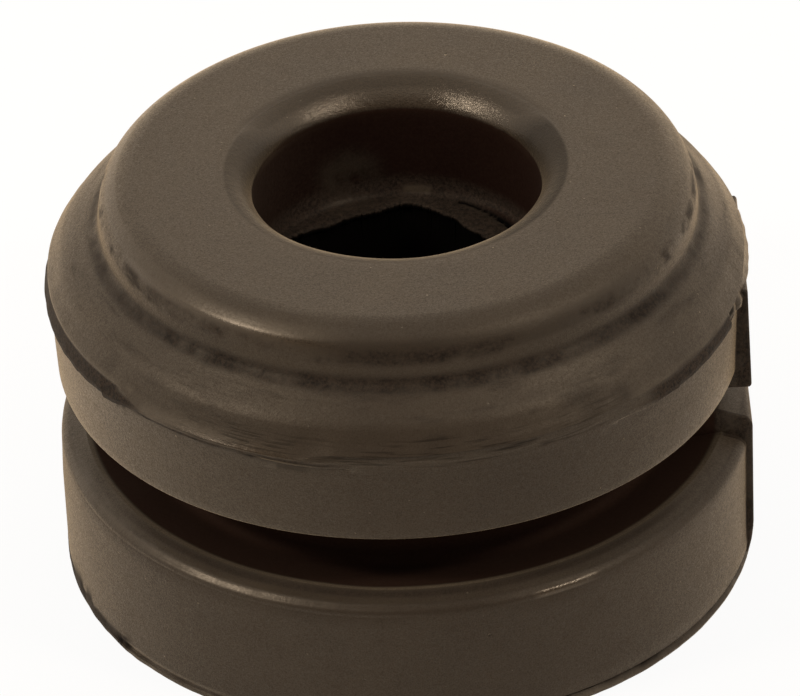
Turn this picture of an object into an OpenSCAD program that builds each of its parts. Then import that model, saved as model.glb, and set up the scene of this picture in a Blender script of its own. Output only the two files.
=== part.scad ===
// Suspension rod bushing: one piece of moulded rubber, revolved about Z, with two small lugs at +X.
// Millimetres. The bore axis is Z. The seating face lies at z = 0 and the boss points to +Z.

/* [Overall] */
// height from the seating face to the flat top of the boss
total_h = 36.8; // [36:0.1:38]
// diameter over the parting-line lip, the widest place
lip_d = 60; // [59.4:0.1:61]

/* [Bore and pocket] */
// diameter of the through bore for the rod
bore_d = 18.5; // [16:0.1:20]
// diameter of the pocket above the ledge
pocket_d = 24.1; // [22:0.1:26]
// depth of the pocket from the top face to the ledge
pocket_depth = 10.5; // [8:0.1:14]
// radius of the rolled mouth of the pocket
mouth_round = 2.45; // [0.5:0.05:3.5]
// radius in the corner between the pocket wall and the ledge
ledge_fillet = 0.9; // [0.2:0.05:1.5]
// radius on the edge where the ledge turns into the bore
ledge_edge = 0.3; // [0.1:0.05:0.6]

/* [Lower flange] */
// height of the groove floor above the seating face, at the neck
lower_h = 12.4; // [11:0.1:13]
// diameter of the lower flange wall
lower_d = 59; // [58.2:0.1:59.6]
// diameter of the raised ring on the lower flange
crown_d = 54.9; // [52:0.1:56]
// rise of the raised ring above the groove floor
crown_rise = 0.9; // [0.3:0.05:1.5]
// fall from the raised ring to the corner of the rim
rim_fall = 0.75; // [0.3:0.05:1.5]
// radius on the upper rim of the lower flange
rim_round = 1.2; // [0.3:0.05:1.4]
// radius along the crest of the raised ring
crown_round = 0.3; // [0.1:0.05:0.6]
// radius on the bottom edge of the lower flange
base_edge = 0.4; // [0.1:0.05:1]

/* [Groove] */
// diameter of the neck between the two flanges
neck_d = 45; // [43:0.1:47]
// height of the groove at the neck, which takes the sheet metal
groove_h = 7.1; // [6:0.1:7.6]
// radius in both corners of the groove
neck_fillet = 0.8; // [0.2:0.05:1.5]

/* [Upper flange] */
// diameter of the upper flange at its lower edge
upper_d = 58; // [57.4:0.1:58.6]
// height of the upper flange wall below the lip
upper_wall_h = 7.55; // [7:0.05:8]
// how far that wall leans out over its height, per side
upper_draft = 0.35; // [0:0.05:0.5]
// radius on the lower edge of the upper flange
upper_edge = 0.25; // [0.1:0.05:0.6]

/* [Parting-line lip] */
// thickness of the lip
lip_t = 0.7; // [0.5:0.05:0.9]
// radius on the upper edge of the lip
lip_round = 0.2; // [0.05:0.05:0.3]

/* [Shoulder] */
// diameter of the ridge just above the lip
ridge_d = 58.5; // [57.8:0.1:58.8]
// height of the ridge above the lip
ridge_rise = 0.85; // [0.7:0.05:1]
// radius along the ridge
ridge_round = 0.2; // [0.05:0.05:0.5]
// diameter where the skirt bends into the shoulder
bend_d = 56.2; // [55.4:0.1:56.8]
// height of that bend above the ridge
bend_rise = 1.6; // [1.2:0.05:1.9]
// radius of the bend
bend_round = 3.5; // [1:0.1:4]

/* [Boss] */
// diameter of the boss at the level of its top face, before its edge is rounded
boss_d = 49.2; // [48.4:0.1:49.8]
// diameter of the boss at its foot
foot_d = 50.4; // [50:0.1:51.2]
// height of the boss above its foot
boss_h = 4.2; // [4.1:0.05:4.6]
// radius on the top edge of the boss
boss_round = 3.25; // [1:0.05:3.3]
// radius in the corner at the foot of the boss
foot_fillet = 1.3; // [0.3:0.05:1.5]

/* [Lugs] */
// width of both lugs, across Y
lug_w = 14.5; // [8:0.5:18]
// distance from the bore axis to the flat outer face of both lugs
lug_reach = 29.15; // [28.9:0.05:29.3]
// how far the upper lug hangs below the upper flange
upper_lug_drop = 1.65; // [0.5:0.05:2]
// radius on the lower outer corner of the upper lug
upper_lug_round = 0.5; // [0.1:0.05:1]
// height of the lower lug's foot above the seating face
lower_lug_foot = 0.6; // [0.5:0.1:4]
// height over which the lower lug's face leans in towards its foot
lug_lean_h = 2.6; // [1:0.1:4]
// how far that face leans in
lug_lean = 0.45; // [0.1:0.05:0.8]
// height of the lower lug's outer corner above the groove floor
lower_lug_rise = 2.2; // [1.4:0.1:2.4]
// slope of the lower lug's top, in degrees
lug_slope = 18; // [4:1:20]
// radius on the upper outer corner of the lower lug
lower_lug_round = 0.9; // [0.1:0.05:1.2]

/* [Hidden] */
// segments in each rounded corner of the section
arc_steps = 10;
// segments of the revolve, exported as a true circle
round_steps = 180;
// how far a lug runs inside the neck, so that the two make one body
lug_bury = 2.5;

// radii
bore_r = bore_d / 2;
pocket_r = pocket_d / 2;
lower_r = lower_d / 2;
crown_r = crown_d / 2;
neck_r = neck_d / 2;
upper_r = upper_d / 2;
lip_r = lip_d / 2;
ridge_r = ridge_d / 2;
bend_r = bend_d / 2;
foot_r = foot_d / 2;
boss_r = boss_d / 2;
lug_in = neck_r - lug_bury;

// levels above the seating face
seat_z = lower_h;
crown_z = seat_z + crown_rise;
rim_z = crown_z - rim_fall;
under_z = seat_z + groove_h;
lip_z = under_z + upper_wall_h;
lip_top_z = lip_z + lip_t;
ridge_z = lip_top_z + ridge_rise;
bend_z = ridge_z + bend_rise;
foot_z = total_h - boss_h;
ledge_z = total_h - pocket_depth;

// unit vector from one point to another
function toward(from, to) = (to - from) / norm(to - from);

// points of the arc that rounds the corner at b, between its neighbours a and c
function corner_arc(a, b, c, r) =
    let (u = toward(b, a), v = toward(b, c))
    let (half = acos(u * v) / 2)
    let (mid = b + toward([0, 0], u + v) * r / sin(half))
    let (first = b + u * r / tan(half) - mid)
    let (last = b + v * r / tan(half) - mid)
    let (start = atan2(first[1], first[0]))
    let (sweep = atan2(cross(first, last), first * last))
    [for (k = [0 : arc_steps]) let (t = start + sweep * k / arc_steps) mid + r * [cos(t), sin(t)]];

function flat(v) = [v[0], v[1]];

// corners given as [x, y, radius] become one outline
function rounded(v) =
    let (n = len(v))
    [for (i = [0 : n - 1]) each
        v[i][2] == 0
            ? [flat(v[i])]
            : corner_arc(flat(v[(i + n - 1) % n]), flat(v[i]), flat(v[(i + 1) % n]), v[i][2])];

// half section of the revolved body, as [radius, height, corner radius]
module section() {
    polygon(rounded([
        [bore_r, 0, 0],
        [lower_r, 0, base_edge],
        [lower_r, rim_z, rim_round],
        [crown_r, crown_z, crown_round],
        [neck_r, seat_z, neck_fillet],
        [neck_r, under_z, neck_fillet],
        [upper_r, under_z, upper_edge],
        [upper_r + upper_draft, lip_z, 0],
        [lip_r, lip_z, 0],
        [lip_r, lip_top_z, lip_round],
        [ridge_r, ridge_z, ridge_round],
        [bend_r, bend_z, bend_round],
        [foot_r, foot_z, foot_fillet],
        [boss_r, total_h, boss_round],
        [pocket_r, total_h, mouth_round],
        [pocket_r, ledge_z, ledge_fillet],
        [bore_r, ledge_z, ledge_edge]
    ]));
}

// a tab across Y, with its outline given as [reach, height, corner radius]
module lug(outline) {
    rotate([90, 0, 0])
        linear_extrude(height = lug_w, center = true)
            polygon(rounded(outline));
}

// hangs from the upper flange, under the lip
module upper_lug() {
    lug([
        [lug_in, under_z - upper_lug_drop, 0],
        [lug_reach, under_z - upper_lug_drop, upper_lug_round],
        [lug_reach, lip_z + lip_t / 2, 0],
        [lug_in, lip_z + lip_t / 2, 0]
    ]);
}

// stands on the lower flange, with a top that slopes down outwards
module lower_lug() {
    lug([
        [lug_in, lower_lug_foot, 0],
        [lug_reach - lug_lean, lower_lug_foot, 0],
        [lug_reach, lower_lug_foot + lug_lean_h, 0],
        [lug_reach, seat_z + lower_lug_rise, lower_lug_round],
        [lug_in, seat_z + lower_lug_rise + (lug_reach - lug_in) * tan(lug_slope), 0]
    ]);
}

// the flat that both flanges carry between the lugs' side faces
module lug_flat() {
    translate([lug_reach, -lug_w / 2, lower_lug_foot])
        cube([lip_r, lug_w, lip_z - lower_lug_foot]);
}

module bushing() {
    color([0.2, 0.18, 0.16])
        union() {
            difference() {
                rotate_extrude($fn = round_steps)
                    section();
                lug_flat();
            }
            upper_lug();
            lower_lug();
        }
}

bushing();
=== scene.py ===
"""Suspension rod bushing in moulded rubber: one body with two flanges, a groove, a rod bore and two small lugs."""
import math
from types import SimpleNamespace

import bmesh
import bpy
import numpy as np
from mathutils import Matrix, Vector


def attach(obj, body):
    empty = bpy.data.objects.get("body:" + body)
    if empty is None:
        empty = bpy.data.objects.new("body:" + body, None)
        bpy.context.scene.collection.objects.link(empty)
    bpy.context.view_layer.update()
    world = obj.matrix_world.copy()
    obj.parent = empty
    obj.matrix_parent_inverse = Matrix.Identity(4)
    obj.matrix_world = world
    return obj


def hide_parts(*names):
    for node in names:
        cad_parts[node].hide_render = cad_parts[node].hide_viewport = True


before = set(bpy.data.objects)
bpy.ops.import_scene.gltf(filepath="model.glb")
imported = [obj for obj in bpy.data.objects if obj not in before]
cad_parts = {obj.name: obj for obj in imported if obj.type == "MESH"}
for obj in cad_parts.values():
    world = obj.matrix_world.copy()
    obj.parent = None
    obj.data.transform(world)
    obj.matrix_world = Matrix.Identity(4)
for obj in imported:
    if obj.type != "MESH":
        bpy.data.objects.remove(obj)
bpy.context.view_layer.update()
MM = 0.001

# ---------------------------------------------------------------- camera
VIEW_W, VIEW_H = 800, 696
SENSOR = 36.0
FOCAL_PX = 6838.0
CAMERA_FAR = 0.580
CAMERA_EL = math.radians(34.62)
CAMERA_ROLL = math.radians(-2.59)
CLIP_NEAR, CLIP_FAR = 0.01, 50
AIM_PX = (403.3, 337.0)
AIM_Z = 0.0195


def make_camera():
    """Looks along +Y and down, with the point on the bore axis at AIM_Z on the pixel AIM_PX."""
    fwd = Vector((0, math.cos(CAMERA_EL), -math.sin(CAMERA_EL)))
    flat_right = Vector((1, 0, 0))
    flat_up = flat_right.cross(fwd)
    c, s = math.cos(CAMERA_ROLL), math.sin(CAMERA_ROLL)
    right = c * flat_right + s * flat_up
    up = c * flat_up - s * flat_right
    data = bpy.data.cameras.new("camera")
    data.sensor_width = SENSOR
    data.lens = FOCAL_PX * SENSOR / VIEW_W
    data.shift_x = (VIEW_W / 2 - AIM_PX[0]) / VIEW_W
    data.shift_y = (AIM_PX[1] - VIEW_H / 2) / VIEW_W
    data.clip_start, data.clip_end = CLIP_NEAR, CLIP_FAR
    cam = bpy.data.objects.new("camera", data)
    bpy.context.scene.collection.objects.link(cam)
    spot = Vector((0, 0, AIM_Z)) - fwd * CAMERA_FAR
    cam.matrix_world = Matrix.Translation(spot) @ Matrix((right, up, -fwd)).transposed().to_4x4()
    bpy.context.scene.camera = cam


make_camera()

# ---------------------------------------------------------------- section of the moulding, in millimetres
STEPS = 360           # points round a smooth row
STEPS_TORN = 720      # points round a torn row
LARGEST_R = 29.985    # no point of the revolved body stands further out
UPPER_OFFSET = 0.32   # the upper flange sits this far towards -X

BORE_R, POCKET_R, NECK_R, CROWN_R, WALL_R = 9.25, 12.05, 22.5, 27.46, 29.5
LEDGE_Z, TOP_Z = 26.35, 36.8
WALL_MID_Z, WALL_TOP_Z = 24.6, 26.9
LIP_R, LIP_Z, LIP_OUT = 29.32, 27.05, 0.34
LIP_TOP_Z, RIDGE_Z = 27.45, 28.55
CHIP_TOP_Z, FOOT_Z = 1.10, 1.60
SCAR_Z = 35.45        # the worn line round the boss
CRACK_R = 11.45       # the crack in the ledge

# corner name, radius, height, rounding, arc segments, segments of the straight run to the next corner
SECTION = [
    ("bore_foot", BORE_R, 0.0, 0.3, 2, 8),
    ("base", WALL_R, 0.0, 0.12, 2, 2),
    ("fin_top", WALL_R, 0.30, 0.0, 0, 2),
    ("crease", WALL_R, 0.50, 0.0, 0, 3),
    ("chip_top", WALL_R, CHIP_TOP_Z, 0.0, 0, 2),
    ("wall_foot", WALL_R, FOOT_Z, 0.0, 0, 9),
    ("rim", WALL_R, 12.55, 1.2, 15, 4),
    ("crown", CROWN_R, 13.3, 0.12, 3, 7),
    ("seat", NECK_R, 12.4, 0.8, 4, 4),
    ("neck_top", NECK_R, 19.5, 0.8, 3, 6),
    ("upper_edge", 29.0, 19.5, 0.22, 3, 7),
    ("wall_mid", 29.2, WALL_MID_Z, 0.0, 0, 4),
    ("wall_top", 29.30, WALL_TOP_Z, 0.0, 0, 1),
    ("lip_under", LIP_R, LIP_Z, 0.0, 0, 2),
    ("lip_foot", 29.62, 27.10, 0.06, 1, 1),
    ("lip_top", 29.66, LIP_TOP_Z, 0.12, 2, 3),
    ("ridge", 29.22, RIDGE_Z, 0.10, 2, 4),
    ("bend", 28.1, 30.2, 3.5, 5, 5),
    ("boss_foot", 25.2, 32.55, 1.3, 6, 2),
    ("boss_top", 24.6, TOP_Z, 3.25, 26, 7),
    ("mouth", POCKET_R, TOP_Z, 2.45, 12, 8),
    ("pocket_foot", POCKET_R, LEDGE_Z, 1.0, 7, 5),
    ("ledge_edge", BORE_R, 26.3, 0.12, 2, 3),
    ("bore_top", 9.3, 25.7, 0.0, 0, 9),
]
FOOT_PARTS = ("base", "fin_top", "crease", "chip_top", "wall_foot")
LEDGE_PARTS = ("pocket_foot", "ledge_edge", "bore_top")
TORN_PARTS = ("base", "fin_top", "crease", "chip_top", "wall_top", "lip_under", "lip_foot", "lip_top", "ridge",
              "pocket_foot", "ledge_edge")
TORN_ZONES = ("wall_foot", "wall_mid_run", "bore_top")


def section_rows():
    """The section as rows of (zone, radius, height), with arcs and runs in order round the outline."""
    count, ends = len(SECTION), []
    for i, (name, r, z, rounding, arc, run) in enumerate(SECTION):
        here = np.array((r, z), float)
        if rounding == 0:
            ends.append([here])
            continue
        back = np.array(SECTION[i - 1][1:3], float) - here
        on = np.array(SECTION[(i + 1) % count][1:3], float) - here
        back /= np.hypot(*back)
        on /= np.hypot(*on)
        half = math.acos(float(back @ on)) / 2
        middle = here + (back + on) / np.hypot(*(back + on)) * rounding / math.sin(half)
        first = here + back * rounding / math.tan(half) - middle
        last = here + on * rounding / math.tan(half) - middle
        start = math.atan2(first[1], first[0])
        sweep = math.atan2(first[0] * last[1] - first[1] * last[0], float(first @ last))
        turn = [start + sweep * k / arc for k in range(arc + 1)]
        ends.append([middle + rounding * np.array((math.cos(t), math.sin(t))) for t in turn])
    rows = []
    for i, (name, r, z, rounding, arc, run) in enumerate(SECTION):
        rows += [(name, *p) for p in ends[i]]
        a, b = ends[i][-1], ends[(i + 1) % count][0]
        rows += [(name + "_run", *(a + (b - a) * k / run)) for k in range(1, run)]
    return rows


# ---------------------------------------------------------------- unevenness of the moulding
rng = np.random.default_rng(41)


def ripple(low, high, fall=0.5):
    """Smooth noise round the part, with from low to high waves a turn, mostly between -1 and 1."""
    waves = np.arange(low, high + 1)
    sizes = rng.normal(size=len(waves)) * waves ** -fall
    sizes /= np.sqrt((sizes ** 2).sum())
    shifts = rng.uniform(0, 2 * math.pi, len(waves))
    return lambda angle: (sizes[:, None] * np.cos(waves[:, None] * angle[None, :] + shifts[:, None])).sum(0)


def ragged(count, power=2.0):
    """A torn edge: straight stretches between count random corners, from 0 to 1."""
    knots = np.sort(rng.uniform(0, 2 * math.pi, count))
    heights = rng.uniform(0, 1, count) ** power
    return lambda angle: np.interp(angle, knots, heights, period=2 * math.pi)


def away(angle, middle):
    """Degrees from the middle angle, between -180 and 180."""
    return (np.degrees(angle) - middle + 180) % 360 - 180


def near(angle, middle, half):
    """1 at the middle angle, and a soft fall to 0 at half degrees from it."""
    t = np.clip(1 - np.abs(away(angle, middle)) / half, 0, 1)
    return t * t * (3 - 2 * t)


def stretch(angle, first, last, soft):
    """1 from the first angle to the last, with soft ends that are soft degrees wide."""
    middle, half = (first + last) / 2, (last - first) / 2
    t = np.clip((half + soft - np.abs(away(angle, middle))) / soft, 0, 1)
    return t * t * (3 - 2 * t)


def fade(x, first, last):
    """0 up to first, 1 from last on, smooth between."""
    t = np.clip((x - first) / (last - first), 0, 1)
    return t * t * (3 - 2 * t)


def line(x, middle, width):
    """1 at the middle, and next to nothing two widths from it."""
    return np.exp(-((x - middle) / width) ** 2)


# The order of these draws decides every wave and tear.
lip_wave, lip_tears, lip_bite = ripple(3, 60, 0.6), ragged(260, 3.0), ripple(5, 90, 0.3)
skirt_wave, rim_wave, wall_wave = ripple(2, 14), ripple(2, 24), ripple(2, 9)
fin_wave, fin_tears, chip_tears = ripple(4, 80, 0.4), ragged(300, 2.0), ragged(170, 1.0)
hole_tears, hole_wave, ledge_wave = ragged(420, 1.0), ripple(3, 22, 0.6), ripple(2, 12)
boss_wave, mouth_wave = ripple(2, 10), ripple(2, 10)

# Places round the part, in degrees: first angle, last angle, width of the soft ends. +X is 0 and the front is 270.
SAG_LEFT, SAG_RIGHT = (165, 208, 14), (312, 338, 12)
CALM_LIP = (224, 300, 10)
WORN_FRONT = (252, 300, 10)
FLUSH_LIP, EVEN_LIP = (264, 304, 12), (258, 304, 12)
LIP_NOTCH, NOTCH_FLOOR = (339.2, 343.0, 0.8), (339.4, 341.4, 0.6)
NOSE = (224, 252, 7)
LOW_RIDGE, FLAT_RIDGE = (226, 345, 8), (260, 300, 14)
BEADS = (208, 262, 12)
BOSS_SCAR = (212, 250, 12)
FIN_RIGHT, FIN_LEFT, CHIPS = (296, 349, 6), (150, 176, 12), (190, 207, 8)
WIDE_FILLET, CRACK, PAD = (100, 150, 14), (31, 62, 1.5), (75.5, 87.5, 2.5)
TONGUE_AT, TONGUE_END, TONGUE_TAPER = 213.6, 5.6, 2.6


def lip_level(angle):
    """Height of the lip's lower edge: it sags at the left and right and has one torn tongue."""
    level = WALL_TOP_Z + 0.13 * near(angle, 246, 34) + 0.2 * near(angle, 268, 12)
    level -= 0.5 * stretch(angle, *SAG_LEFT) + 0.45 * stretch(angle, *SAG_RIGHT)
    side = away(angle, TONGUE_AT)
    level -= 0.36 * (side > 0) * np.clip((TONGUE_END - side) / TONGUE_TAPER, 0, 1)
    return level + (0.06 * lip_wave(angle) - 0.12 * lip_tears(angle)) * (1 - 0.75 * stretch(angle, *CALM_LIP))


def lip_reach(angle):
    """How far the lip stands out: little at the front, where it is worn flush."""
    out = LIP_OUT - 0.33 * stretch(angle, *FLUSH_LIP) + 0.03 * lip_bite(angle) * (1 - stretch(angle, *EVEN_LIP))
    return np.maximum(out, 0.01) * (1 - stretch(angle, *LIP_NOTCH)) - 0.10 * stretch(angle, *NOTCH_FLOOR)


def chip_height(angle):
    """How high the broken places at the foot reach."""
    return 0.6 + 0.7 * chip_tears(angle)


def crack_width(angle):
    """Half the width of the crack in the ledge, which is widest near one end."""
    return 0.13 + 0.12 * near(angle, 33, 24)


def hole_edge(angle):
    """Radius of the ragged upper end of the bore: a film stands in on one side, and two places are torn out."""
    film = near(angle, 40, 30)
    edge = 9.4 - 0.9 * film + 0.95 * near(angle, 84, 18) + 1.55 * near(angle, 150, 24)
    return edge + 0.08 * hole_wave(angle) + 0.22 * (hole_tears(angle) - 0.5)


def flange_shift(r, z):
    """How much of the upper flange's sideways offset a point takes."""
    low = fade(r, 23.5, 27.5) * (z > 18) * (z < 27)
    high = fade(z, 33.0, 30.5) * fade(r, 25.6, 27.5) * (z >= 27)
    return low + high


# ---------------------------------------------------------------- torn and moulded forms, one for each place
def lip_form(zone, angle, r, z):
    """The torn lip and the wall that leads up to it."""
    drop = lip_level(angle) - LIP_Z
    grown_r = LIP_R + (r - LIP_R) * lip_reach(angle) / LIP_OUT
    worn = stretch(angle, *WORN_FRONT)
    if zone == "wall_mid_run":
        return r, z + drop * (z - WALL_MID_Z) / (WALL_TOP_Z - WALL_MID_Z)
    if zone == "wall_top":
        return r, z + drop - 0.7 * worn
    if zone in ("lip_under", "lip_under_run"):
        return grown_r, z + drop - 0.3 * worn
    if zone in ("lip_foot", "lip_foot_run"):
        return grown_r, z + drop
    if zone == "lip_top":
        return grown_r, z + drop * fade(z, RIDGE_Z, LIP_Z)
    if zone == "lip_top_run":
        share = (RIDGE_Z - z) / (RIDGE_Z - LIP_TOP_Z)
        return r + (lip_reach(angle) - LIP_OUT) * share - 0.05 * np.sin(share * math.pi), z + drop * share * 0.6
    return r, z


def ridge_form(part, angle, r, z):
    """The ridge above the lip lies lower and further out from the nose round to the lugs."""
    if part != "ridge":
        return r, z
    low, nose = 0.14 + 0.34 * stretch(angle, *LOW_RIDGE), stretch(angle, *NOSE)
    return (r + low * 0.55 * (1 - 0.85 * nose) - 0.05 * stretch(angle, *FLAT_RIDGE),
            z - low - 0.12 * nose + 0.04 * lip_wave(angle))


def nose_form(zone, start_z, angle, r, z):
    """A full round nose on the lip at the front left, with the skirt leaning straight up from it."""
    nose_round = 0.28
    nose = stretch(angle, *NOSE)
    if zone in ("ridge", "lip_top", "lip_top_run"):
        up = math.radians(45 - 55 * min(max((28.60 - start_z) / 1.15, 0), 1))
        nose_r = 29.36 + nose_round * math.cos(up)
        nose_z = lip_level(angle) + 0.32 + nose_round * math.sin(up)
    elif zone == "ridge_run":
        share = (start_z - 28.56) / 1.21
        nose_r = 29.33 + share * (28.39 - 29.33)
        foot_z = lip_level(angle) + 0.74
        nose_z = foot_z + share * (29.77 - foot_z)
    else:
        return r, z
    return r + (nose_r - r) * nose, z + (nose_z - z) * nose


def rim_form(angle, r, z):
    """Fine beads and creases along the lower flange's rim."""
    along = (z[0] - 11.5) / 1.5
    bead = 0.02 * line(along, 0.5, 0.12) - 0.05 * line(along, 0.26, 0.09) - 0.025 * line(along, 0.72, 0.08)
    strength = 0.3 + 0.9 * stretch(angle, *BEADS) + 0.9 * near(angle, 295, 13) + 0.2 * rim_wave(angle)
    return r + bead * strength * 0.8, z + bead * strength * 0.6 + 0.02 * rim_wave(angle)


def boss_form(angle, r, z):
    """The boss isn't quite round, and has a worn line below its rounding at the left."""
    scar = line(z[0], SCAR_Z, 0.26) * stretch(angle, *BOSS_SCAR) * (0.6 + 0.4 * fin_tears(angle))
    r = r + 0.04 * boss_wave(angle) + 0.03 * scar
    return r, z + 0.03 * scar + 0.05 * near(angle, 248, 9) * line(r[0], 22.7, 0.3)


def mouth_form(zone, start_z, angle, r, z):
    """The mouth's rounding lies lower at the back."""
    tilt = math.atan2(max(start_z - 34.35, 0), max(14.5 - float(r[0]), 0.001))
    low = 0.45 * math.sin(2 * tilt) * near(angle, 90, 105) if zone == "mouth" else 0
    return r + 0.05 * mouth_wave(angle), z - low


def foot_form(part, angle, r, z):
    """The foot's outer edge: a fin and a crease at the right, a wider edge at the left, and chips between them."""
    right, left, chips = stretch(angle, *FIN_RIGHT), stretch(angle, *FIN_LEFT), stretch(angle, *CHIPS)
    fin = 0.08 * left - 0.18 * right + 0.03 * fin_wave(angle) + 0.04 * fin_tears(angle)
    if part == "fin_top":
        r, z = r - 0.26 * right, z + 0.30 * right + 0.06 * fin_wave(angle + 2.0)
    if part == "base":
        r = r + 0.10 * right
    if part in ("base", "fin_top"):
        r = r + fin * (1 - chips)
    if part == "crease":
        r = r - (0.60 * right + 0.12 * (1 - left)) * (1 - chips) * (0.8 + 0.4 * fin_tears(angle + 1.0))
        z = z + 0.26 * right
    if part == "chip_top":
        r = r - 0.05 * right * (z[0] > 1.0)
    deep = 0.02 + 0.08 * chip_tears(angle + 0.3)
    return r - chips * deep * np.clip(1 - z / chip_height(angle), 0, 1), z


def ledge_form(zone, part, angle, r, z):
    """The ledge: a wider fillet, a crack and a small pad, and the ragged upper end of the bore."""
    edge = hole_edge(angle)
    if zone == "bore_top":
        return edge + 0.45, z
    if part == "bore_top":
        return r, z
    spread_r = edge + np.clip((r - BORE_R) / (POCKET_R - BORE_R), 0, 1) * (POCKET_R - edge)
    if part == "ledge_edge":
        return spread_r, z - 0.06 * hole_tears(angle + 0.5) * (spread_r[0] < 9.8)
    wide = 1 + 1.3 * stretch(angle, *WIDE_FILLET) * (z[0] > 26.4)
    new_z = LEDGE_Z + (z - LEDGE_Z) * wide + 0.05 * ledge_wave(angle) * (z < 26.8)
    crack = stretch(angle, *CRACK) * line(spread_r[0], CRACK_R, crack_width(angle))
    pad = stretch(angle, *PAD) * line(new_z[0], 26.75, 0.25)
    return spread_r - 0.10 * pad, new_z - 0.45 * crack * (0.6 + 0.4 * hole_tears(angle + 1.0))


def form(zone, angle, r, z):
    """Moves a row's points from the plain section to the moulded and torn shape."""
    part, start_z = zone.removesuffix("_run"), float(z[0])
    r, z = lip_form(zone, angle, r, z)
    r, z = ridge_form(part, angle, r, z)
    r, z = nose_form(zone, start_z, angle, r, z)
    if part in ("ridge", "bend") and 28.6 < start_z < 30.6:
        r, z = r + 0.05 * skirt_wave(angle), z + 0.04 * skirt_wave(angle + 1.1)
    if part == "rim":
        r, z = rim_form(angle, r, z)
    if r[0] > 29 and start_z < 12.5:
        r = r + 0.16 * near(angle, 192, 50) * fade(start_z, 12.5, 8.0)
    if part == "crown":
        z = z + 0.03 * rim_wave(angle + 0.7)
    if part in ("upper_edge", "wall_mid") or zone == "wall_foot_run":
        r = r + 0.03 * wall_wave(angle)
    if part in ("boss_foot", "boss_top") and r[0] > 20:
        r, z = boss_form(angle, r, z)
    if part == "mouth":
        r, z = mouth_form(zone, start_z, angle, r, z)
    if part in FOOT_PARTS and r[0] > 29 and z[0] < 1.7:
        r, z = foot_form(part, angle, r, z)
    if part in LEDGE_PARTS and z[0] > 25.0:
        r, z = ledge_form(zone, part, angle, r, z)
    return r, z


def ring_mesh(name, rows, shape):
    """Revolves the rows, each moved by shape. Rows of torn places have twice as many steps."""
    verts, rings = [], []
    for zone, r, z in rows:
        torn = zone.removesuffix("_run") in TORN_PARTS or zone in TORN_ZONES
        steps = STEPS_TORN if torn else STEPS
        angle = np.arange(steps) * 2 * math.pi / steps
        rr, zz = shape(zone, angle, np.full(steps, r), np.full(steps, z))
        x = rr * np.cos(angle) - UPPER_OFFSET * flange_shift(rr, zz)
        y = rr * np.sin(angle)
        keep = np.minimum(1.0, LARGEST_R / np.hypot(x, y))
        rings.append((len(verts), steps))
        verts.extend(zip(x * keep * MM, y * keep * MM, np.clip(zz, 0, TOP_Z) * MM))
    faces = []
    for i, (a0, na) in enumerate(rings):
        b0, nb = rings[(i + 1) % len(rings)]
        for k in range(min(na, nb)):
            j = (k + 1) % min(na, nb)
            if na == nb:
                faces.append((a0 + k, a0 + j, b0 + j, b0 + k))
            elif na > nb:
                p, q, s = a0 + 2 * k, a0 + 2 * k + 1, a0 + (2 * k + 2) % na
                faces += [(p, q, b0 + k), (q, b0 + j, b0 + k), (q, s, b0 + j)]
            else:
                p, q, s = b0 + 2 * k, b0 + 2 * k + 1, b0 + (2 * k + 2) % nb
                faces += [(a0 + k, q, p), (a0 + k, a0 + j, q), (a0 + j, s, q)]
    mesh = bpy.data.meshes.new(name)
    mesh.from_pydata([tuple(map(float, v)) for v in verts], [], faces)
    mesh.validate()
    return mesh


def put_in_scene(name, mesh):
    made = bpy.data.objects.new(name, mesh)
    bpy.context.scene.collection.objects.link(made)
    return made


body = put_in_scene("bushing_rubber", ring_mesh("bushing_rubber", section_rows(), form))

# ---------------------------------------------------------------- lugs, in millimetres
LUG_IN, LUG_OUT, LUG_HALF = 20.0, 29.15, 7.25
FLAT_OUT = 31         # the blocks that cut the flats reach out to here
# outlines of (reach, height)
UPPER_LUG = [(LUG_IN, 17.85), (29.42, 17.85), (29.22, 25.2), (29.16, 27.55), (LUG_IN, 27.3)]
LOWER_LUG = [(LUG_IN, 0.6), (28.7, 0.6), (28.98, 1.9), (LUG_OUT, 3.6), (LUG_OUT, 13.9), (28.75, 14.62), (26.2, 15.5),
             (LUG_IN, 17.4)]


def lug_block(name, outline, bevel, offset_x=0.0):
    """A lug across Y with the given outline of (reach, height), and softened outer edges."""
    bm = bmesh.new()
    sides = []
    for y in (-LUG_HALF, LUG_HALF):
        sides.append([bm.verts.new(((r + offset_x) * MM, y * MM, z * MM)) for r, z in outline])
    bm.faces.new(sides[0])
    bm.faces.new(list(reversed(sides[1])))
    count = len(outline)
    for i in range(count):
        j = (i + 1) % count
        bm.faces.new((sides[0][j], sides[0][i], sides[1][i], sides[1][j]))
    bm.normal_update()
    bmesh.ops.recalc_face_normals(bm, faces=bm.faces)
    soft = [e for e in bm.edges if all(v.co.x > (LUG_IN + 1 + offset_x) * MM for v in e.verts)]
    bmesh.ops.bevel(bm, geom=soft, offset=bevel * MM, segments=3, affect="EDGES", profile=0.5)
    mesh = bpy.data.meshes.new(name)
    bm.to_mesh(mesh)
    bm.free()
    return put_in_scene(name, mesh)


def box(name, low, high):
    """A plain block between two corners, for cutting a flat."""
    bm = bmesh.new()
    bmesh.ops.create_cube(bm, size=1)
    size = (Vector(high) - Vector(low)) * MM
    middle = (Vector(high) + Vector(low)) / 2 * MM
    bmesh.ops.transform(bm, matrix=Matrix.Translation(middle) @ Matrix.Diagonal((*size, 1)), verts=bm.verts)
    mesh = bpy.data.meshes.new(name)
    bm.to_mesh(mesh)
    bm.free()
    return put_in_scene(name, mesh)


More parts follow.
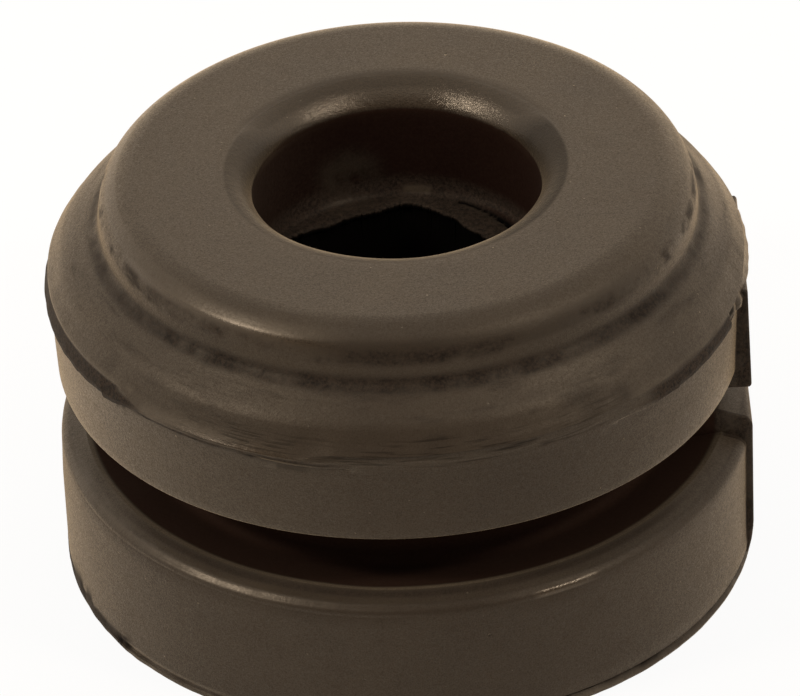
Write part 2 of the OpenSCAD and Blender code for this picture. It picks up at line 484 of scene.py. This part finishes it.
def cut_or_fuse(target, tool, operation):
    """Joins the tool to the target or cuts it out, and removes the tool."""
    mod = target.modifiers.new("join", "BOOLEAN")
    mod.operation = operation
    mod.solver = "MANIFOLD"
    mod.object = tool
    graph = bpy.context.evaluated_depsgraph_get()
    result = bpy.data.meshes.new_from_object(target.evaluated_get(graph))
    target.modifiers.clear()
    target.data = result
    bpy.data.objects.remove(tool)


cut_or_fuse(body, box("lower_flat", (LUG_OUT, -LUG_HALF, 0.6), (FLAT_OUT, LUG_HALF, 16)), "DIFFERENCE")
cut_or_fuse(body, box("upper_flat", (LUG_OUT - 0.25, -LUG_HALF, 17), (FLAT_OUT, LUG_HALF, 26.6)), "DIFFERENCE")
cut_or_fuse(body, lug_block("upper_lug", UPPER_LUG, 0.22, -UPPER_OFFSET), "UNION")
cut_or_fuse(body, lug_block("lower_lug", LOWER_LUG, 0.25), "UNION")


# ---------------------------------------------------------------- where the skin is torn or polished, and where shade and highlights are painted
def mark_finish(mesh):
    """Stores four fields on the mesh's points, which the rubber's material reads."""
    spots = np.empty(len(mesh.vertices) * 3)
    mesh.vertices.foreach_get("co", spots)
    x, y, z = (spots.reshape(-1, 3) / MM).T
    angle = np.arctan2(y, x)
    upper_r, r = np.hypot(x + UPPER_OFFSET, y), np.hypot(x, y)
    level = lip_level(angle)
    on_lip = fade(upper_r, 29.2, 29.3)
    at_foot = r > 27
    worn = stretch(angle, *WORN_FRONT)

    # the torn face of the lip, painted shade on the line below its nose and under the lip, and painted shade in the
    # notch by the lugs
    lip_top = 28.30 - 0.26 * stretch(angle, 290, 345, 10) - 1.0 * stretch(angle, 226, 262, 13)
    lip = fade(z, level - 0.10, level + 0.02) * fade(z, lip_top + 0.06, lip_top - 0.06) * on_lip
    lip *= np.maximum(stretch(angle, 140, 227, 8), stretch(angle, 316, 338, 6))
    lip *= 1 - stretch(angle, 339, 372, 0.8)
    below = stretch(angle, 218, 256, 7) * on_lip
    below *= fade(z, level + 0.36, level + 0.24) * fade(z, level - 0.14, level - 0.04)
    notch = stretch(angle, 339.0, 341.6, 0.5) * fade(z, 26.5, 26.8) * fade(z, 28.0, 27.7) * (upper_r > 29)
    under = fade(z, level - 0.40 - 0.7 * worn, level - 0.25 - 0.7 * worn) * fade(z, level + 0.05, level)
    under *= (upper_r > 29.2) * (upper_r < 29.5) * stretch(angle, 222, 250, 9) * (0.25 + 0.4 * fin_tears(angle + 0.5))

    # the chips at the foot, torn rubber darkened with painted shade, with a thin line on from them, and painted shade
    # in the crease above the fin
    chip_top = chip_height(angle) + 0.6
    chips = stretch(angle, 183, 213, 4) * fade(z, chip_top + 0.25, chip_top - 0.10) * at_foot
    chips += stretch(angle, 214, 234, 5) * line(z, 0.7, 0.16) * fin_tears(angle + 0.4) ** 0.5 * at_foot
    seam = stretch(angle, 296, 349, 5) * fade(z, 1.02, 0.90) * fade(z, 0.58, 0.68) * at_foot

    # painted shade in the crack in the ledge and in the bore, and a painted highlight on the small pad on the pocket's
    # wall
    crack = stretch(angle, *CRACK) * line(r, CRACK_R, crack_width(angle)) * (z > 25.5) * (z < 27)
    bore = fade(z, 26.22, 26.08) * (r < 13)
    pad = stretch(angle, 77, 86, 2.5) * fade(r, 11.3, 11.6) * fade(z, 26.35, 26.6) * fade(z, 27.2, 26.8) * (r < 13)

    # polished places: the lip's nose, the boss's scar, and two places on the rim
    nose = stretch(angle, 226, 248, 7) * on_lip
    nose *= fade(z, level + 0.24, level + 0.36) * fade(z, level + 0.95, level + 0.8)
    scar = 0.8 * stretch(angle, 210, 250, 12) * line(z, SCAR_Z, 0.34) * (r > 23) * (r < 25)
    rim_left = 0.6 * stretch(angle, 200, 262, 14) * fade(r, 28.0, 28.4) * fade(z, 12.2, 12.5) * (z < 14)
    rim_right = stretch(angle, 291, 300, 2) * fade(r, 29.1, 29.25) * fade(z, 11.8, 12.0) * (z < 12.5)

    # pale places, painted highlights: the ridge line above the lip and the crown line, painted light on the foot's edge
    # at the right and left, and the pad
    pale = stretch(angle, 165, 238, 10) * line(z, 28.45, 0.14) * (upper_r > 28.9) * (upper_r < 29.5)
    pale += stretch(angle, 312, 338, 6) * line(z, 28.18, 0.16) * (upper_r > 28.9)
    pale += 0.8 * stretch(angle, 180, 345, 12) * line(r, CROWN_R, 0.09) * (z > 13.0) * (z < 14)
    pale += stretch(angle, 298, 349, 5) * fade(z, 0.56, 0.4) * (r > 28.5) * (0.7 + 0.8 * fin_tears(angle + 0.7))
    pale += 0.8 * stretch(angle, 200, 236, 6) * fade(z, 0.45, 0.3) * (r > 28.5) * fin_tears(angle + 0.9)
    pale += pad

    # the black field is mostly painted shade: the bore, the crack, the notch, under the lip and below its nose, the
    # crease above the fin and the chips
    black = bore + crack + 0.9 * notch + under + 0.25 * below
    black += 0.95 * seam * fin_tears(angle + 0.2) ** 0.6 + chips * (0.30 + 0.45 * fin_tears(angle + 1.3))
    # the torn field also darkens the line below the nose, as painted shade
    fields = {"torn": np.clip(lip + 0.85 * chips + 0.8 * seam + 0.9 * below, 0, 1),
              "black": np.clip(black, 0, 1),
              "shine": np.max((nose, scar, rim_left, rim_right, 0.6 * pad), axis=0),
              "pale": np.clip(pale, 0, 1.5)}
    for name, values in fields.items():
        field = mesh.attributes.new(name, "FLOAT", "POINT")
        field.data.foreach_set("value", values.astype(np.float32))


mark_finish(body.data)


# ---------------------------------------------------------------- shader maths
class Wire:
    """One shader value. Arithmetic on it adds the Math nodes."""

    def __init__(self, bench, socket):
        self.bench, self.socket = bench, socket

    def maths(self, operation, first, second=0.0):
        return self.bench.node("ShaderNodeMath", {"operation": operation}, {0: first, 1: second})

    def __add__(self, other):
        return self.maths("ADD", self, other)

    def __sub__(self, other):
        return self.maths("SUBTRACT", self, other)

    def __rsub__(self, other):
        return self.maths("SUBTRACT", other, self)

    def __mul__(self, other):
        return self.maths("MULTIPLY", self, other)

    def __truediv__(self, other):
        return self.maths("DIVIDE", self, other)

    def __pow__(self, other):
        return self.maths("POWER", self, other)

    __radd__, __rmul__ = __add__, __mul__

    def size(self):
        """The value without its sign."""
        return self.maths("ABSOLUTE", self)

    def most(self, other):
        """The larger of the two."""
        return self.maths("MAXIMUM", self, other)

    def least(self, other):
        """The smaller of the two."""
        return self.maths("MINIMUM", self, other)

    def rise(self, low, high):
        """0 at low, 1 at high, smooth between. With high below low it falls."""
        return self.bench.node("ShaderNodeMapRange", {"interpolation_type": "SMOOTHSTEP"},
                               {"Value": self, "From Min": low, "From Max": high})

    def band(self, low, high, soft):
        """1 from low to high, and 0 from soft beyond them."""
        return self.rise(low - soft, low) * self.rise(high + soft, high)


class Bench:
    """The nodes of one material or of the world."""

    def __init__(self, owner):
        owner.use_nodes = True
        self.owner, self.tree = owner, owner.node_tree
        self.tree.nodes.clear()

    def node(self, kind, settings=None, sockets=None, out=0):
        """Adds one node, and gives its output as a Wire where it has one."""
        made = self.tree.nodes.new(kind)
        for key, value in (settings or {}).items():
            setattr(made, key, value)
        for key, value in (sockets or {}).items():
            if isinstance(value, Wire):
                self.tree.links.new(value.socket, made.inputs[key])
            else:
                made.inputs[key].default_value = value
        return Wire(self, made.outputs[out]) if made.outputs else made

    def parts(self, vector, count):
        """The first of a vector's x, y and z."""
        return [self.node("ShaderNodeSeparateXYZ", sockets={0: vector}, out=k) for k in range(count)]

    def vector(self, x, y, z):
        return self.node("ShaderNodeCombineXYZ", sockets={0: x, 1: y, 2: z})

    def noise(self, where, scale, detail=2.0, rough=0.5, turn=0.0):
        """Smooth noise from 0 to 1, with its scale in features a unit. Each turn gives another pattern."""
        return self.node("ShaderNodeTexNoise", {"noise_dimensions": "4D"},
                         {"Vector": where, "W": turn, "Scale": scale, "Detail": detail, "Roughness": rough})

    def dots(self, where, scale, channel, large, small):
        """Round dots in a few cells: their radius in cells is from small to large, picked by a channel of colour."""
        distance, colour = (self.node("ShaderNodeTexVoronoi", {"feature": "F1"}, {"Vector": where, "Scale": scale}, k)
                            for k in range(2))
        pick = self.node("ShaderNodeSeparateColor", sockets={0: colour}, out=channel)
        return distance.rise(large, small) * pick.rise(0.80, 0.84)

    def bump(self, height):
        """A bump whose height is in millimetres."""
        return self.node("ShaderNodeBump", sockets={"Strength": 1.0, "Distance": MM, "Height": height})

    def blend(self, share, first, second):
        """A colour between the two."""
        return self.node("ShaderNodeMix", {"data_type": "RGBA"}, {0: share, 6: first, 7: second}, 2)

    def mix(self, share, first, second):
        """A finish between the two."""
        return self.node("ShaderNodeMixShader", sockets={0: share, 1: first, 2: second})

    def finish(self, shader):
        self.node("ShaderNodeOutputMaterial", sockets={"Surface": shader})
        return self.owner


# ---------------------------------------------------------------- rubber
RUBBER_DARK, RUBBER_WARM = (0.0320, 0.0223, 0.0150, 1), (0.0460, 0.0331, 0.0221, 1)
RUBBER_BLOOM = (0.0600, 0.0424, 0.0280, 1)
# the second colour is painted shade for the boss's foot fillet
MOULD_STREAK, GRIME = (0.0080, 0.0056, 0.0040, 1), (0.0035, 0.0028, 0.0024, 1)
# painted highlights and painted light on the pale field
DUST_THIN, DUST_THICK = (0.060, 0.045, 0.031, 1), (0.13, 0.10, 0.07, 1)
PORE, PIT, SPECK = (0.004, 0.003, 0.002, 1), (0.0015, 0.0012, 0.0010, 1), (0.10, 0.085, 0.065, 1)
TORN_DARK, TORN_LIGHT = (0.0060, 0.0040, 0.0030, 1), (0.0400, 0.0270, 0.0190, 1)
# dark colours for painted shade: the bore and pocket, the pocket's wall and the groove
SHADOW, POCKET_WALL, GROOVE_WALL = (0.0012, 0.0008, 0.0006, 1), (0.013, 0.005, 0.003, 1), (0.020, 0.0095, 0.006, 1)
SKIN_TINT, SHEEN_TINT, TORN_TINT = (1.0, 0.82, 0.62, 1), (1.0, 0.78, 0.52, 1), (1.0, 0.88, 0.74, 1)
SMOOTHEST = 0.17


def skin_places(bench):
    """Where a point is, the four stored fields there, and the noises, all in millimetres."""
    at = SimpleNamespace()
    at.spot = bench.node("ShaderNodeVectorMath", {"operation": "SCALE"},
                         {0: bench.node("ShaderNodeTexCoord", out=3), "Scale": 1 / MM})
    at.x, at.y, at.z = bench.parts(at.spot, 3)
    at.r = (at.x * at.x + at.y * at.y) ** 0.5
    cos, sin = at.x / at.r, at.y / at.r
    at.torn, at.black, at.shine, at.pale = (bench.node("ShaderNodeAttribute", {"attribute_name": name}, out=2)
                                            for name in ("torn", "black", "shine", "pale"))

    def drawn_round(tight, run, *noise):
        """Noise drawn out round the axis, which changes along run."""
        return bench.noise(bench.vector(cos * tight, sin * tight, run), *noise)

    at.mottle = bench.noise(at.spot, 0.11, 3.0)
    at.cloud = bench.noise(at.spot, 0.33, 3.0, 0.6, 4.0)
    at.grime = bench.noise(at.spot, 0.4, 4.0, 0.65, 9.0)
    at.peel = bench.noise(at.spot, 0.8, 2.0, 0.5, 7.0)
    at.grain = bench.noise(at.spot, 3.4, 3.0, 0.7)
    at.fine = bench.noise(at.spot, 8.5, 2.0, 0.6, 8.0)
    at.tear = bench.noise(at.spot, 2.0, 4.0, 0.7, 3.0)
    at.streak = drawn_round(1.6, at.r + at.z * 0.7, 3.4, 3.0, 0.6, 1.0)
    at.fine_streak = drawn_round(3.5, at.r * 2.2 + at.z * 1.6, 4.0, 2.0, 0.6, 2.0)
    at.wear = drawn_round(4.0, at.r * 0.8 + at.z * 0.8, 2.2, 4.0, 0.7, 6.0)
    at.scratches = drawn_round(9.0, at.r * 0.9 + at.z * 0.9, 2.4, 4.0, 0.7, 5.0)
    at.lip_lines = drawn_round(2.2, at.z * 1.5, 4.0, 3.0, 0.6, 11.0)
    at.specks = bench.dots(at.spot, 0.9, 0, 0.085, 0.055)
    at.pits = bench.dots(at.spot, 0.35, 1, 0.055, 0.03)
    return at


def mark_zones(bench, at):
    """The zones of the skin that differ, each from 0 to 1."""
    x, y, z, r = at.x, at.y, at.z, at.r
    front = y.rise(-10.0, -19.0)
    at.shoulder = z.band(27.5, 32.6, 0.5) * r.rise(24.6, 25.4)
    at.mouth = r.band(12.2, 14.2, 0.5) * z.rise(33.7, 34.6)
    # painted shade on the mouth's rounding at the back
    at.behind_mouth = r.band(13.2, 14.6, 0.7) * z.rise(35.9, 36.3) * y.rise(3.0, 9.0)
    boss_edge = r.band(23.6, 24.2, 0.3) * z.rise(35.0, 35.3) * x.rise(4.0, -12.0)
    rim_wear = 1 - z.rise(16.0, 14.0) * at.wear.rise(0.66, 0.34) * 0.75
    at.polish = (at.mouth * y.rise(2.0, 7.0) * 0.95).most(boss_edge * 0.3).most(at.shine * rim_wear)

    # painted shade in the boss's foot fillet, stronger at the front and mottled
    fillet = r.band(25.4, 25.8, 0.8) * z.band(32.2, 32.6, 0.8)
    fillet = fillet * (at.grime.rise(0.30, 0.66) * 0.42 + 0.26 + front * 0.22)
    at.fillet_band = fillet * (at.wear.rise(0.25, 0.65) * 0.5 + 0.5)
    at.boss_shade = z.band(34.4, 35.5, 0.7) * r.rise(23.0, 23.8) * front * x.rise(-13.0, -3.0)
    # painted shade in a band low on the boss's rounding
    at.boss_band = (z.band(34.3, 34.8, 0.7) * r.rise(24.0, 24.5) * at.grime.rise(0.40, 0.62)
                    * (at.wear.rise(0.35, 0.6) * 0.5 + 0.3))
    at.dashes = (z.band(27.0, 29.0, 0.6) * y.rise(-20.0, -26.0) * at.lip_lines.rise(0.46, 0.62)
                 * (at.streak.rise(0.3, 0.6) * 0.6 + 0.4))

    # painted shade in the groove
    at.groove = z.band(12.5, 19.7, 0.15) * r.rise(27.3, 26.7) * r.rise(20.0, 21.0)
    crest = r.band(27.38, 27.52, 0.05) * z.band(13.1, 13.6, 0.1)
    at.rim_shade = r.band(27.4, 28.0, 0.35) * z.band(12.6, 13.6, 0.2) * y.rise(-13.0, -21.0) * (1 - crest)
    # the pocket gets painted shade, with a lighter painted patch at its back left
    smear = bench.node("ShaderNodeVectorMath", {"operation": "DISTANCE"}, {0: at.spot, 1: (-4.2, 11.2, 28.4)}, 1)
    at.smear = smear.rise(4.2, 1.0) * at.cloud.rise(0.25, 0.6)
    at.pocket = r.rise(12.9, 12.6) * (z + (at.wear - 0.5) * 0.4).rise(35.0, 34.6)
    # painted shade on the lugs' front faces
    at.lug_side = x.rise(20.0, 22.0) * y.band(-7.6, -7.0, 0.1) * z.band(1.0, 27.5, 0.5)


def skin_tone(bench, at):
    """Warm black with cloudy bloom, mould streaks, painted shade in the boss's foot fillet, painted highlights from the
    pale field, pores, pits and specks.
    """
    tone = bench.blend(at.mottle.rise(0.3, 0.7), RUBBER_DARK, RUBBER_WARM)
    layers = ((at.cloud.rise(0.45, 0.8) * 0.5, RUBBER_BLOOM),
              (at.streak.rise(0.52, 0.75) * at.shoulder * 0.5, MOULD_STREAK),
              # painted shade in the boss's foot fillet
              (at.fillet_band, GRIME),
              # painted highlights and painted light from the pale field
              (at.pale * (at.wear.rise(0.25, 0.6) * 0.7 + 0.3) * 0.8, DUST_THIN),
              (at.pale.rise(1.0, 1.5), DUST_THICK),
              (at.fine.rise(0.62, 0.35) * 0.55, PORE),
              (at.pits * 0.9, PIT),
              (at.specks * 0.55, SPECK))
    for share, colour in layers:
        tone = bench.blend(share, tone, colour)
    return tone


def skin_roughness(at):
    roughness = 0.47 + (at.mottle - 0.5) * 0.12 + (at.grain - 0.5) * 0.10 + (at.streak - 0.5) * 0.14
    return (roughness - at.polish * 0.27).most(SMOOTHEST)


def skin_height(at):
    """Relief of the skin in millimetres: orange peel, grain and streaks, scratches where it is polished, and pits."""
    height = (at.peel - 0.5) * 0.022 + (at.grain - 0.5) * 0.020 + (at.fine - 0.5) * 0.014
    height = height + (at.fine_streak - 0.5) * (0.006 + at.shoulder * 0.012)
    height = height * (1 - at.shine * at.z.rise(20.0, 24.0) * 0.6)
    scratched = at.mouth * 0.058 + at.shine * (at.z.rise(16.0, 14.0) * 0.028 + 0.012)
    return height + scratched * (at.scratches - 0.5) - at.pits * 0.06 + at.specks * 0.02


def dull_share(at):
    """How much of the raw, matte finish shows through the skin. It also lays painted shade in the groove, the pocket,
    the lugs' front faces, the fillet, the boss band, the rim and the walls.
    """
    # painted shade: the walls are duller towards +X and on the lower flange
    wall = at.z.rise(27.3, 26.9) * at.r.rise(28.6, 28.9)
    wall = wall * (at.x.rise(-16.0, 0.0) * 0.25).most(at.z.rise(12.6, 12.0) * 0.2)
    speckle = (wall + at.fine.rise(0.3, 0.7) * 0.22 + at.grain.rise(0.30, 0.70) * 0.14
               + at.streak.rise(0.5, 0.72) * at.shoulder * 0.25 + at.cloud.rise(0.5, 0.8) * 0.12)
    dull = (at.torn * 0.9).most(at.groove * 0.9).most(at.pocket * (0.9 - at.smear * 0.5))
    dull = dull.most(at.lug_side * (0.45 + at.grime.rise(0.35, 0.62) * 0.5))
    dull = dull.most(at.fillet_band).most(at.boss_band).most(at.rim_shade * 0.55)
    return (dull + speckle * (1 - dull)) * (1 - at.polish * 0.85) * (1 - at.pale.least(1.0) * 0.8)


def dark_share(at):
    """How much of the dark finish shows: grit, and painted shade in the bore, cracks, fillet, boss bands, mouth, groove
    and pocket.
    """
    x, y, z = at.x, at.y, at.z
    grit = at.fine.rise(0.32, 0.72) * 0.32 + at.grain.rise(0.35, 0.7) * 0.12
    dark = at.black.most(grit * (1 - at.polish)).most(at.behind_mouth * (at.cloud * 0.2 + 0.16))
    dark = dark.most(at.dashes * 0.55).most(at.fillet_band * 0.48).most(at.boss_band * 0.35)
    dark = dark.most(at.boss_shade * (at.cloud * 0.2 + 0.22))
    # painted shade on the mouth's sides and front, more at the right
    dark = dark.most(at.mouth * (x.rise(6.0, 10.0) * 0.16 + 0.42) * y.rise(9.0, 5.0)).most(at.groove * 0.88)
    return dark.most(at.pocket * z.rise(27.0, 28.6) * (0.88 - at.smear * 0.9 - x.rise(-3.0, -11.0) * 0.2))


def make_rubber():
    """Near-black rubber: satin skin with mould streaks, polished edges, matte torn places and a little dust, with
    painted shade in hollows and painted highlights on some edges.
    """
    bench = Bench(bpy.data.materials.new("rubber"))
    at = skin_places(bench)
    mark_zones(bench, at)
    skin = bench.node("ShaderNodeBsdfPrincipled", sockets={
        "Base Color": skin_tone(bench, at), "Roughness": skin_roughness(at), "Normal": bench.bump(skin_height(at)),
        "IOR": 1.50, "Specular Tint": SKIN_TINT, "Sheen Weight": 1.0, "Sheen Tint": SHEEN_TINT, "Sheen Roughness": 0.4})
    raw = bench.node("ShaderNodeBsdfPrincipled", sockets={
        "Base Color": bench.blend(at.grain.rise(0.34, 0.66), TORN_DARK, TORN_LIGHT), "Roughness": 0.8,
        "Normal": bench.bump((at.tear - 0.5) * 0.16), "IOR": 1.25, "Specular Tint": TORN_TINT})
    inside = bench.blend(at.pocket * at.z.rise(26.2, 26.6), SHADOW, POCKET_WALL)
    dark = bench.node("ShaderNodeBsdfPrincipled", sockets={
        "Base Color": bench.blend(at.groove, inside, GROOVE_WALL), "Roughness": 0.9, "IOR": 1.1})
    return bench.finish(bench.mix(dark_share(at), bench.mix(dull_share(at), skin, raw), dark))


body.data.materials.clear()
body.data.materials.append(make_rubber())
body.data.shade_smooth()
body.data.set_sharp_from_angle(angle=math.radians(38))
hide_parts("bushing")
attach(body, "root")

# ---------------------------------------------------------------- stage and light, in metres
WHITE = (1, 1, 1, 1)
SHOWN_WHITE = 0.93
PAPER_FRONT, PAPER_BACK = (0.60, 0.55, 0.47, 1), (0.95, 0.89, 0.79, 1)
FELT = (0.125, 0.115, 0.13, 1)
ROOM_LIGHT, LAMP_LIGHT = (1.0, 0.90, 0.77, 1), (1, 0.94, 0.86)
FLOOR_HALF = 20
CARD_WIDE, CARD_HIGH, CARD_FAR = 1.3, 1.35, 0.9
LAMP_FAR, LAMP_AIM_Z = 0.8, 0.025


def flat_sheet(name, corners):
    """A four-cornered sheet that belongs to the stage."""
    mesh = bpy.data.meshes.new(name)
    mesh.from_pydata(corners, [], [(0, 1, 2, 3)])
    sheet = put_in_scene(name, mesh)
    return sheet


def seen_directly(bench):
    """1 for camera, glossy and transmission rays, otherwise 0."""
    camera, glossy, through = (bench.node("ShaderNodeLightPath", out=k)
                               for k in ("Is Camera Ray", "Is Glossy Ray", "Is Transmission Ray"))
    return camera.most(glossy).most(through)


def make_paper():
    """White paper that is a little greyer in front, as painted shade. Cameras and reflections see it close to plain
    white.
    """
    bench = Bench(bpy.data.materials.new("white_paper"))
    x, y = bench.parts(bench.node("ShaderNodeTexCoord", out=3), 2)
    behind = (y + x.size() * 0.6).rise(-0.10, 0.07)
    paper = bench.node("ShaderNodeBsdfPrincipled", sockets={
        "Base Color": bench.blend(behind, PAPER_FRONT, PAPER_BACK), "Roughness": 0.9})
    glow = bench.node("ShaderNodeEmission", sockets={"Color": WHITE, "Strength": 1.0})
    return bench.finish(bench.mix(seen_directly(bench) * SHOWN_WHITE, paper, glow))


def make_felt():
    """Black felt with no shine."""
    bench = Bench(bpy.data.materials.new("black_felt"))
    return bench.finish(bench.node("ShaderNodeBsdfPrincipled", sockets={"Base Color": FELT, "Roughness": 1.0}))


def softbox(name, azimuth, elevation, wide, tall, power):
    """A soft lamp that points at the bushing. Azimuth is measured from +Y towards +X."""
    data = bpy.data.lights.new(name, "AREA")
    data.shape = "RECTANGLE"
    data.size, data.size_y = wide, tall
    data.energy = power
    data.color = LAMP_LIGHT
    lamp = put_in_scene(name, data)
    a, e = math.radians(azimuth), math.radians(elevation)
    away_from_part = Vector((math.sin(a) * math.cos(e), math.cos(a) * math.cos(e), math.sin(e)))
    lamp.location = Vector((0, 0, LAMP_AIM_Z)) + away_from_part * LAMP_FAR
    lamp.rotation_mode = "QUATERNION"
    lamp.rotation_quaternion = away_from_part.to_track_quat("Z", "Y")
    lamp.visible_camera = False


def make_world():
    """Warm light from all round, which cameras and reflections see as plain white."""
    world = bpy.data.worlds.new("studio")
    bpy.context.scene.world = world
    bench = Bench(world)
    light, white = (bench.node("ShaderNodeBackground", sockets={"Color": colour, "Strength": 1.0})
                    for colour in (ROOM_LIGHT, WHITE))
    bench.node("ShaderNodeOutputWorld", sockets={0: bench.mix(seen_directly(bench), light, white)})


floor = flat_sheet("floor", [(-FLOOR_HALF, -FLOOR_HALF, 0), (FLOOR_HALF, -FLOOR_HALF, 0),
                             (FLOOR_HALF, FLOOR_HALF, 0), (-FLOOR_HALF, FLOOR_HALF, 0)])
floor.data.materials.append(make_paper())
card = flat_sheet("dark_card", [(-CARD_WIDE, -CARD_FAR, 0), (CARD_WIDE, -CARD_FAR, 0),
                                (CARD_WIDE, -CARD_FAR, CARD_HIGH), (-CARD_WIDE, -CARD_FAR, CARD_HIGH)])
card.data.materials.append(make_felt())
card.visible_camera = False
softbox("softbox_left", -112, 40, 0.13, 0.09, 2.7)
softbox("softbox_right", 122, 42, 0.10, 0.09, 1.8)
make_world()

bpy.context.scene.view_settings.view_transform = "Standard"
